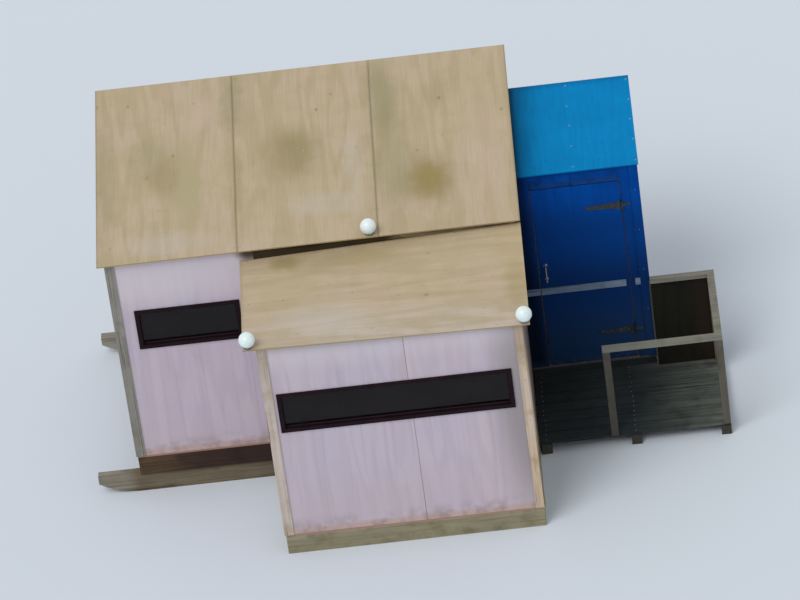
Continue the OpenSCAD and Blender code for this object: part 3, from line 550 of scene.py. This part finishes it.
def brushedRoofPaint(node):
    # thick exterior enamel brushed along the sheet: lap marks, a chalky bloom, and near-black painted shade
    # beside the main room's wall
    look, shape = roofEnamel, sheetShape(node)
    material, tree, shader, place = startFinish("brushedRoofEnamel", {
        "Roughness": 0.5, "IOR": 1.5, "Specular IOR Level": 0.04})
    laid = sheetPlace(tree, place, shape, False)
    wide, deep = shape["extent"]
    brush = mottle(tree, laid, (30.0, 2.0, 1.0), 0.35, 0.70)  # 35 mm brush laps
    bloom = mottle(tree, laid, (2.0, 2.6, 1.0), 0.36, 0.66)
    spot = mottle(tree, laid, (14.0, 12.0, 1.0), 0.60, 0.72)
    colour = layered(tree, look["body"], [
        (look["light"], 0.65, bloom), (look["dark"], 0.35, brush), (look["dirt"], 0.30, spot),
        *fadeLayers(tree, laid, [(look["dirt"], 0.45, back, deep - 0.10, deep),
                                 (look["shade"], 0.85, left, wide - 0.13, wide - 0.05)])])
    linkFinish(tree, shader, colour, None, brush, 0.0008)
    return material


floorEdges = {"main_floor": "#9A7464", "bay_floor": "#A07A68", "lobby_floor": "#14233A",
              "depth": 0.002}  # metres the stain goes into a cut edge


def floorPlywood(node):
    # sheathing plywood, its cut edges stained with the red-brown of the joists
    low, high = [np.array(c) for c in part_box(node)]
    material, tree, shader, place = startFinish("floorPlywood." + node, {"Roughness": 0.8, "IOR": 1.5})
    grain = veneerGrain(tree, place, (0.42, 3.2, 1.0), 6.0)
    worn = mottle(tree, place, (2.0, 2.0, 2.0), 0.38, 0.66)
    edge, depth = floorEdges[node], floorEdges["depth"]
    rims = [(edge, 0.9, axis, float(far) - 1.1 * depth, float(far) - 0.9 * depth)
            for axis, far in ((right, high[0]), (left, -low[0]), (back, high[1]), (front, -low[1]))]
    colour = layered(tree, bareWood["body"], [
        (bareWood["dark"], 0.5, grain), (bareWood["dark"], 0.6, worn), *fadeLayers(tree, place, rims)])
    linkFinish(tree, shader, colour, None, grain, 0.0008)
    return material


glazing = {"body": "#14090E", "haze": "#23161C", "film": "#0D070A"}


def smokedAcrylic():
    # tinted acrylic sheet, dulled by a dusty film: dark, with a faint picture of the snow
    material, tree, shader, place = startFinish("smokedAcrylic", {
        "IOR": 1.49, "Transmission Weight": 0.5, "Specular IOR Level": 0.04})
    haze = mottle(tree, place, (2.2, 2.2, 6.0), 0.40, 0.70)
    film = mottle(tree, place, (11.0, 11.0, 11.0), 0.45, 0.70)
    colour = layered(tree, glazing["body"], [
        (glazing["haze"], 0.5, haze), (glazing["film"], 0.5, film)])
    rough = addNode(tree, "ShaderNodeMapRange", {"Value": film, "To Min": 0.08, "To Max": 0.30})
    linkFinish(tree, shader, colour, rough)
    return material


casings = {"body": "#1B0F14", "dull": "#25171D", "chip": "#5A4A38"}


def blackFramePaint():
    # black enamel on thin wooden casings, dulled, bare at a few chips
    material, tree, shader, place = startFinish("blackFrameEnamel", {
        "Roughness": 0.5, "IOR": 1.5, "Specular IOR Level": 0.08})
    dull = mottle(tree, place, (7.0, 7.0, 7.0), 0.36, 0.70)
    chip = mottle(tree, place, (55.0, 55.0, 55.0), 0.71, 0.74)
    colour = layered(tree, casings["body"], [
        (casings["dull"], 0.6, dull), (casings["chip"], 0.6, chip)])
    linkFinish(tree, shader, colour, None, dull, 0.0005)
    return material


lampParts = {
    "globe": "#F4F3F1", "globeGrime": "#CFCABD", "holder": "#76797B", "holderGrime": "#5F6163",
    "slack": 0.0012,  # a point this far outside a globe still counts as its own
    "cell": 0.6,  # metres; each lamp lies in a cell of its own
}


def opalPlastic(node):
    # moulded opal acrylic of the lamp globes: milky, softly glossy, a little grimed; below each
    # globe its holder, a grey moulded plastic, shows where the point lies outside the globe
    material, tree, shader, place = startFinish("opalAcrylic", {
        "Roughness": 0.22, "IOR": 1.49, "Subsurface Weight": 0.35, "Subsurface Scale": 0.02})
    grime = mottle(tree, place, (9.0, 9.0, 14.0), 0.52, 0.78)
    globe, holder = [layered(tree, lampParts[part], [(lampParts[part + "Grime"], amount, grime)])
                     for part, amount in (("globe", 0.40), ("holder", 0.50))]
    inside = None
    for middle, radius in globePlaces(node):
        ball = addNode(tree, "ShaderNodeVectorMath", {0: place, 1: middle}, out="Value",
                       operation="DISTANCE")
        ball = addNode(tree, "ShaderNodeMath", {0: ball, 1: radius + lampParts["slack"]},
                       operation="LESS_THAN")
        inside = ball if inside is None else addNode(
            tree, "ShaderNodeMath", {0: inside, 1: ball}, operation="MAXIMUM")
    linkFinish(tree, shader, layered(tree, holder, [(globe, 1.0, inside)]))
    return material


def globePlaces(node):
    # middle and radius of each globe, the widest part of its lamp
    points = nodePoints(node)
    cells = points[:, :2] / lampParts["cell"]
    globes = []
    for cell in np.unique(cells.round(), axis=0):
        near = points[(abs(cells - cell) <= 0.5).all(1)]
        low, high = near.min(0), near.max(0)
        radius = 0.5 * float(high[0] - low[0])
        middle = (*(0.5 * (low + high))[:2].tolist(), float(high[2]) - radius)
        globes.append((middle, radius))
    return globes


metals = {  # body, roughness, and how far rust has spread
    "blackenedSteel": ("#45484C", 0.48, 0.02), "galvanisedSteel": ("#9DA1A4", 0.42, 0.0),
    "cloud": "#6F7377", "rust": "#6E4328",
}


def weatheredSteel(name):
    # rolled steel with a thin coat, which rust has begun to break
    body, roughness, rusty = metals[name]
    material, tree, shader, place = startFinish(name, {"Metallic": 1.0})
    cloud = mottle(tree, place, (30.0, 30.0, 30.0), 0.36, 0.66)
    rust = mottle(tree, place, (70.0, 70.0, 50.0), 0.66 - rusty, 0.80 - rusty)
    colour = layered(tree, body, [(metals["cloud"], 0.3, cloud), (metals["rust"], 0.9, rust)])
    rough = addNode(tree, "ShaderNodeMapRange", {"Value": rust, "To Min": roughness, "To Max": 0.85})
    linkFinish(tree, shader, colour, rough, rust, 0.0004)
    return material


walls = [
    (pinkPaint, front, "front_wall bay_front_wall"), (pinkPaint, back, "back_wall"),
    (pinkPaint, left, "left_wall bay_left_wall"), (pinkPaintDarkAsShade, right, "right_wall bay_right_wall"),
    (bluePaint, front, "lobby_front_left lobby_front_right lobby_front_header door_leaf"),
    (bluePaint, back, "lobby_back_wall"), (bluePaint, right, "lobby_right_wall"),
    (bluePaint, None, "lobby_corner_boards"), (panelDarkAsShade, None, "porch_panel"),
]
for paint, outward, nodes in walls:
    for node in nodes.split():
        wearFinish(node, paintedPlywood(node, outward, paint))
for node, seed in (("roof_sheet_left", 1.7), ("roof_sheet_middle", 5.3), ("roof_sheet_right", 9.1)):
    wearFinish(node, rawPlywood(node, seed, roofPly["main"]))
wearFinish("bay_roof_sheet", rawPlywood("bay_roof_sheet", 13.9, roofPly["bay"], roofPly["bayFades"],
                                        longX=True))
wearFinish("lobby_roof_sheet", brushedRoofPaint("lobby_roof_sheet"))
for node in ("main_floor", "bay_floor", "lobby_floor"):
    wearFinish(node, floorPlywood(node))
for name, look in timbers.items():
    timber = sawnTimber(name, look)
    for node in look["nodes"].split():
        wearFinish(node, timber)
wearFinish("slot_glass", smokedAcrylic())
wearFinish("slot_frames", blackFramePaint())
wearFinish("lamps", opalPlastic("lamps"))
steel, zinc = weatheredSteel("blackenedSteel"), weatheredSteel("galvanisedSteel")
for node in ("door_hinges", "hinge_pins"):
    wearFinish(node, steel)
wearFinish("door_handle", zinc)
print("finishes on", len(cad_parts), "nodes")


# Radius and height of each kind of head. The profiles are shares of these, from the foot up; a
# domed head's foot is sunk in the wood
heads = {
    "wall": (0.0050, 0.0022), "roof": (0.0075, 0.0030), "deck": (0.0050, 0.0016),
    "bolt": (0.0100, 0.0055), "plate": (0.0060, 0.0025), "flange": (0.0180, 0.0035),
    "bracket": (0.0042, 0.0018), "nail": (0.0042, 0.0012),
    "domed": [(1.0, -0.15), (0.96, 0.45), (0.60, 1.0), (0.34, 0.62)],
    "flat": [(1.0, 0.0), (1.0, 0.6), (0.85, 1.0), (0.30, 1.0)],
    "sides": 8,
}
jitter = np.random.default_rng(41)


def turnedHeads(name, kind, places, normals, finish=zinc, body="hut"):
    # a profile (r, h) turned round the normal at every place; the last ring is closed flat
    places = np.asarray(places, float).reshape(-1, 3)
    normals = np.broadcast_to(np.asarray(normals, float), places.shape)
    normals = normals / np.linalg.norm(normals, axis=1, keepdims=True)
    lead = np.where(abs(normals[:, 2:]) < 0.9, (0.0, 0.0, 1.0), (0.0, 1.0, 0.0))
    side = np.cross(normals, lead)
    side /= np.linalg.norm(side, axis=1, keepdims=True)
    up = np.cross(normals, side)
    (radius, height), sides = heads[kind], heads["sides"]
    rings = np.array(heads["flat" if kind == "flange" else "domed"])
    a = (np.arange(sides) * math.tau / sides)[None, :, None]
    around = np.cos(a) * side[:, None] + np.sin(a) * up[:, None]
    points = (places[:, None, None] + radius * rings[None, :, :1, None] * around[:, None]
              + height * rings[None, :, 1:, None] * normals[:, None, None])
    count = len(places)
    faces = gridFaces(len(rings), sides, count, closed=True).tolist()
    caps = (np.arange(count)[:, None] * len(rings) + len(rings) - 1) * sides + np.arange(sides)
    piece = putMesh(name, points, faces + caps.tolist())
    piece.data.materials.append(finish)
    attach(piece, body)


wallRows = {
    "stud": 0.61, "step": 0.30,  # between columns, and between rows
    "joint": 0.014,  # from a sheet joint to the columns beside it
    "lap": 0.076,  # from an outer edge to the first full sheet's edge
    "end": 0.09, "endRoom": 0.08, "foot": 0.04, "top": 0.05, "hole": 0.04,
    "strayAcross": 0.003, "strayUp": 0.012,
}


def wallPlaces(node, outward, lap, holes):
    # columns over the studs and beside each sheet joint, rows up the wall, clear of openings
    points, rightward = nodePoints(node), np.cross(upward, outward).astype(float)
    outer = (points @ outward).max()
    skin = points[points @ outward > outer - 1e-4]
    u, start, end = skin @ rightward, (skin @ rightward).min(), (skin @ rightward).max()
    heights = [skin[abs(u - e) < 1e-3, 2].max() for e in (start, end)]
    low = skin[:, 2].min()
    pitch, beside, inset = wallRows["stud"], wallRows["joint"], wallRows["end"]
    stud = start + lap + np.arange(1, int((end - start) / pitch) + 1) * pitch
    joint = stud[1::2]
    columns = np.concatenate([stud[0::2], joint - beside, joint + beside, [start + inset, end - inset]])
    columns = columns[(columns > start + wallRows["endRoom"]) & (columns < end - wallRows["endRoom"])]
    rows = np.arange(low + wallRows["foot"], max(heights), wallRows["step"])
    cu, cv = [g.ravel() for g in np.meshgrid(columns, rows)]
    keep = cv < np.interp(cu, (start, end), heights) - wallRows["top"]
    room = wallRows["hole"]
    for low0, high0, low1, high1 in holes:
        keep &= ~((cu > low0 - room) & (cu < high0 + room) & (cv > low1 - room) & (cv < high1 + room))
    cu, cv = cu[keep], cv[keep]
    cu = cu + jitter.uniform(-wallRows["strayAcross"], wallRows["strayAcross"], len(cu))
    cv = cv + jitter.uniform(-wallRows["strayUp"], wallRows["strayUp"], len(cv))
    return (cu[:, None] * rightward + outer * np.array(outward, float)
            + cv[:, None] * np.array(upward, float))


def extent(points, first, second):
    # lowest and highest of a set of points along two axes, as an opening to keep clear of
    low, high = points.min(0), points.max(0)
    return low[first], high[first], low[second], high[second]


def slotFrames():
    # points of the main room's slot frame, and of the bay's, which stands before y = -1
    points = nodePoints("slot_frames")
    return points[points[:, 1] > -1.0], points[points[:, 1] < -1.0]


def addWallScrews():
    small, wide = [extent(points, 0, 2) for points in slotFrames()]
    lobby, lap = extent(nodePoints("lobby_right_wall"), 1, 2), wallRows["lap"]
    sets = [("front_wall", front, 0.0, [small]), ("back_wall", back, 0.0, []),
            ("left_wall", left, lap, []), ("right_wall", right, lap, [lobby]),
            ("bay_front_wall", front, 0.0, [wide]), ("bay_left_wall", left, 0.0, []),
            ("bay_right_wall", right, lap, []), ("lobby_back_wall", back, 0.0, []),
            ("lobby_right_wall", right, lap, [])]
    for node, outward, shift, holes in sets:
        name = "screws" + "".join(word.title() for word in node.split("_")[:-1])
        places = wallPlaces(node, outward, shift, holes)
        turnedHeads(name, "wall", places, outward, finishOf(node))


roofRows = {
    "step": 0.30, "side": 0.022,  # along a rafter, and from a sheet's long edges
    "start": 0.06, "end": 0.03, "bayFront": 0.05, "stray": 0.006,
}


def addRoofScrews():
    # rows across each sheet over the rafters, set on its top surface and square to it
    for node in ("roof_sheet_left", "roof_sheet_middle", "roof_sheet_right", "bay_roof_sheet",
                 "lobby_roof_sheet"):
        shape = sheetShape(node)
        (wide, deep), (b, c), d = shape["extent"], shape["slopes"], shape["twist"]
        side, start, end = roofRows["side"], roofRows["start"], roofRows["end"]
        if node == "bay_roof_sheet":
            x = np.arange(-wide + start, wide - end, roofRows["step"])
            y = np.array([-deep + roofRows["bayFront"], 0.0, deep - side])
        else:
            x = np.array([-wide + side, 0.0, wide - side])
            y = np.arange(-deep + start, deep - end, roofRows["step"])
        x, y = [g.ravel() for g in np.meshgrid(x, y)]
        x = x + jitter.uniform(-roofRows["stray"], roofRows["stray"], len(x))
        y = y + jitter.uniform(-roofRows["stray"], roofRows["stray"], len(y))
        up = np.stack([-(b + d * y), -(c + d * x), np.ones_like(x)], -1)
        z = b * x + c * y + d * x * y + shape["half"]
        places = np.array(shape["middle"]) + np.stack([x, y, z], -1)
        turnedHeads("screws_" + node, "roof", places, up)


doorFixings = {
    "strap": 0.003,  # thickness of the hinges' straps
    "level": 0.045,  # half a hinge's height
    "bolts": (0.030, 0.110, 0.190, 0.262), "plateScrews": (0.014, 0.044),  # from an end
    "flange": 0.012,  # from the handle's ends
}


def addDoorBolts():
    low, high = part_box("door_hinges")
    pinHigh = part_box("hinge_pins")[1]
    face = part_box("door_leaf")[0][1] - doorFixings["strap"]
    levels = (low[2] + doorFixings["level"], high[2] - doorFixings["level"])
    straps = [(low[0] + x, face, z) for z in levels for x in doorFixings["bolts"]]
    turnedHeads("strapBolts", "bolt", straps, front, steel, "door")
    plates = [(pinHigh[0] - x, face, z) for z in levels for x in doorFixings["plateScrews"]]
    turnedHeads("plateScrews", "plate", plates, front, steel)
    low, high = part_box("door_handle")
    middle, inset = 0.5 * (low[0] + high[0]), doorFixings["flange"]
    flanges = [(middle, high[1], z) for z in (low[2] + inset, high[2] - inset)]
    turnedHeads("handleFlanges", "flange", flanges, front, zinc, "door")


deckRows = {"edge": 0.03, "stray": 0.008}


def addDeckScrews():
    # two screws where each deck board crosses a bearer
    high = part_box("porch_deck")[1]
    bearers = np.unique(nodePoints("porch_bearers")[:, 0]).reshape(-1, 2).mean(1)
    boards = np.unique(nodePoints("porch_deck")[:, 1]).reshape(-1, 2)
    lines = np.concatenate([boards[:, 0] + deckRows["edge"], boards[:, 1] - deckRows["edge"]])
    x, y = [g.ravel() for g in np.meshgrid(bearers, lines)]
    x = x + jitter.uniform(-deckRows["stray"], deckRows["stray"], len(x))
    places = np.stack([x, y, np.full_like(x, high[2])], -1)
    turnedHeads("deckScrews", "deck", places, upward)


trimRows = {
    "step": 0.42, "start": 0.09, "end": 0.08,
    "apart": 0.20, "shortest": 0.5,  # least gap between boards, and least height of one
}


def boardLines(node, outward):
    # middle line of each upright board whose face looks outward: side place, face, bottom, top
    points, outward = nodePoints(node), np.array(outward, float)
    sideways = np.abs(np.cross(outward, upward))
    face = (points @ outward).max()
    skin = points[points @ outward > face - 1e-3]
    skin = skin[np.argsort(skin @ sideways)]
    breaks = np.flatnonzero(np.diff(skin @ sideways) > trimRows["apart"]) + 1
    boards = [b for b in np.split(skin, breaks) if np.ptp(b[:, 2]) > trimRows["shortest"]]
    return [(0.5 * float((b @ sideways).min() + (b @ sideways).max()) * sideways + face * outward,
             float(b[:, 2].min()), float(b[:, 2].max())) for b in boards]


def addTrimNails():
    # flat-headed nails up the middle of each corner board, a hair proud of the paint
    for node in ("main_corner_boards", "bay_corner_boards", "lobby_corner_boards"):
        for label, outward in (("Front", front), ("Back", back), ("Left", left), ("Right", right)):
            places = [middle + np.array((0.0, 0.0, z)) for middle, low, high in boardLines(node, outward)
                      for z in np.arange(low + trimRows["start"], high - trimRows["end"], trimRows["step"])]
            if places:
                turnedHeads("nails" + label + "_" + node, "nail", places, outward)


brackets = {
    "leg": 0.045, "width": 0.036, "thick": 0.003, "bend": 0.006, "gap": 0.0002,
    "pair": 0.010, "along": 0.030,  # its screws, from its middle line and from the corner
    "railPair": 0.014,  # the rails' screws, from a post's middle
}


def angleBracket(name, corner, outward):
    # profile down one leg, round a quarter circle and out along the other, carried across the
    # width; Solidify gives it the plate's thickness
    corner, outward = np.array(corner, float), np.array(outward, float)
    lift = 0.5 * brackets["thick"] + brackets["gap"]
    bend, leg = brackets["bend"], brackets["leg"]
    t = np.linspace(0.0, 0.5 * math.pi, 6)
    out = np.concatenate([[0.0], bend - bend * np.cos(t), [leg]]) + lift
    rise = np.concatenate([[leg], bend - bend * np.sin(t), [0.0]]) + lift
    sideways = np.cross(outward, upward)
    across = np.linspace(-0.5, 0.5, 3) * brackets["width"]
    points = (corner + out[:, None, None] * outward + across[None, :, None] * sideways
              + rise[:, None, None] * np.array(upward))
    piece = putMesh(name, points, gridFaces(len(out), 3))
    plate = piece.modifiers.new("plate", "SOLIDIFY")
    plate.thickness = brackets["thick"]
    plate.offset = 0.0
    piece.data.materials.append(zinc)
    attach(piece, "hut")


def addRailFixings():
    # an angle bracket at each post's foot, behind the two front posts and before the back one,
    # and screws down through the top rails into the posts
    xs, ys = [np.unique(nodePoints("porch_posts")[:, i]).reshape(2, 2).tolist() for i in (0, 1)]
    leftX, rightX = np.mean(xs, 1).tolist()
    deckTop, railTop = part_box("porch_deck")[1][2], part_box("porch_rails")[1][2]
    lift, along = brackets["thick"] + brackets["gap"], brackets["along"]
    upright, level = {1.0: [], -1.0: []}, []
    for label, x, y, way in (("Left", leftX, ys[0][1], 1.0), ("Right", rightX, ys[0][1], 1.0),
                             ("Back", rightX, ys[1][0], -1.0)):
        angleBracket("bracket" + label, (x, y, deckTop), (0.0, way, 0.0))
        for side in (-brackets["pair"], brackets["pair"]):
            upright[way].append((x + side, y + way * lift, deckTop + along))
            level.append((x + side, y + way * along, deckTop + lift))
    for label, way in (("Front", 1.0), ("Back", -1.0)):
        turnedHeads("bracketScrews" + label, "bracket", upright[way], (0, way, 0))
    turnedHeads("bracketScrewsDeck", "bracket", level, upward)
    tops = [(x + side, 0.5 * sum(y), railTop)
            for x, y in ((leftX, ys[0]), (rightX, ys[0]), (rightX, ys[1]))
            for side in (-brackets["railPair"], brackets["railPair"])]
    turnedHeads("railScrews", "deck", tops, upward)


cleat = {
    "side": 0.0105, "ease": 0.003, "gap": 0.0006, "arc": 4, "levels": 9,
    "bottom": 0.001, "top": 0.002,  # inside the panel's ends
}


def addPanelCleat():
    # square strip with eased corners, a profile carried upright in the corner between the
    # panel's near edge and the lobby's corner board; both ends are closed flat
    panel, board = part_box("porch_panel"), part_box("lobby_corner_boards")
    half, ease, arc, levels = 0.5 * cleat["side"], cleat["ease"], cleat["arc"], cleat["levels"]
    t = np.arange(4) * 0.5 * math.pi
    turn = (t[:, None] + np.linspace(0.0, 0.5 * math.pi, arc)[None]).ravel()
    square = np.repeat(np.sign(np.stack([np.cos(t + 0.25 * math.pi), np.sin(t + 0.25 * math.pi)], -1)),
                       arc, axis=0) * (half - ease)
    ring = square + ease * np.stack([np.cos(turn), np.sin(turn)], -1)
    middle = np.array((panel[0][0] - cleat["gap"] - half, board[0][1] - cleat["gap"] - half))
    rise = np.linspace(panel[0][2] + cleat["bottom"], panel[1][2] - cleat["top"], levels)
    count = len(ring)
    points = np.concatenate([np.broadcast_to(ring + middle, (levels, count, 2)),
                             np.broadcast_to(rise[:, None, None], (levels, count, 1))], -1)
    faces = gridFaces(levels, count, closed=True).tolist()
    ends = [list(range(count))[::-1], list(range((levels - 1) * count, levels * count))]
    piece = putMesh("panelCleat", points, faces + ends)
    piece.data.materials.append(finishOf("porch_posts"))
    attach(piece, "hut")


beads = {
    "size": 0.010,
    "casing": 0.024, "wall": 0.012,  # width of the frame's face, and thickness of its boards
    "pane": 0.030,  # from the wall's face back to the glazing
}


def glazingBead(name, points):
    # quarter-round profile (inset, outset) carried round the pane's rectangle, mitred
    low, high = points.min(0), points.max(0)
    t = np.linspace(0.0, 0.5 * math.pi, 6)
    inset = np.concatenate([[0.0], beads["size"] * np.cos(t)])
    outset = np.concatenate([[0.0], beads["size"] * np.sin(t)])
    rim = beads["casing"] + beads["wall"]
    x0, x1, z0, z1 = low[0] + rim, high[0] - rim, low[2] + rim, high[2] - rim
    glass = low[1] + beads["wall"] + beads["pane"]
    xs = np.stack([x0 + inset, x1 - inset, x1 - inset, x0 + inset, x0 + inset])
    zs = np.stack([z0 + inset, z0 + inset, z1 - inset, z1 - inset, z0 + inset])
    ys = np.broadcast_to(glass - outset, xs.shape)
    piece = putMesh(name, np.stack([xs, ys, zs], -1), gridFaces(len(xs), len(inset)))
    piece.data.materials.append(finishOf("slot_frames"))
    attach(piece, "hut")


addWallScrews()
addRoofScrews()
addDoorBolts()
addDeckScrews()
addTrimNails()
addRailFixings()
addPanelCleat()
for name, points in zip(("beadSmall", "beadWide"), slotFrames()):
    glazingBead(name, points)
print("screws, bolts, nails, brackets and beads added")
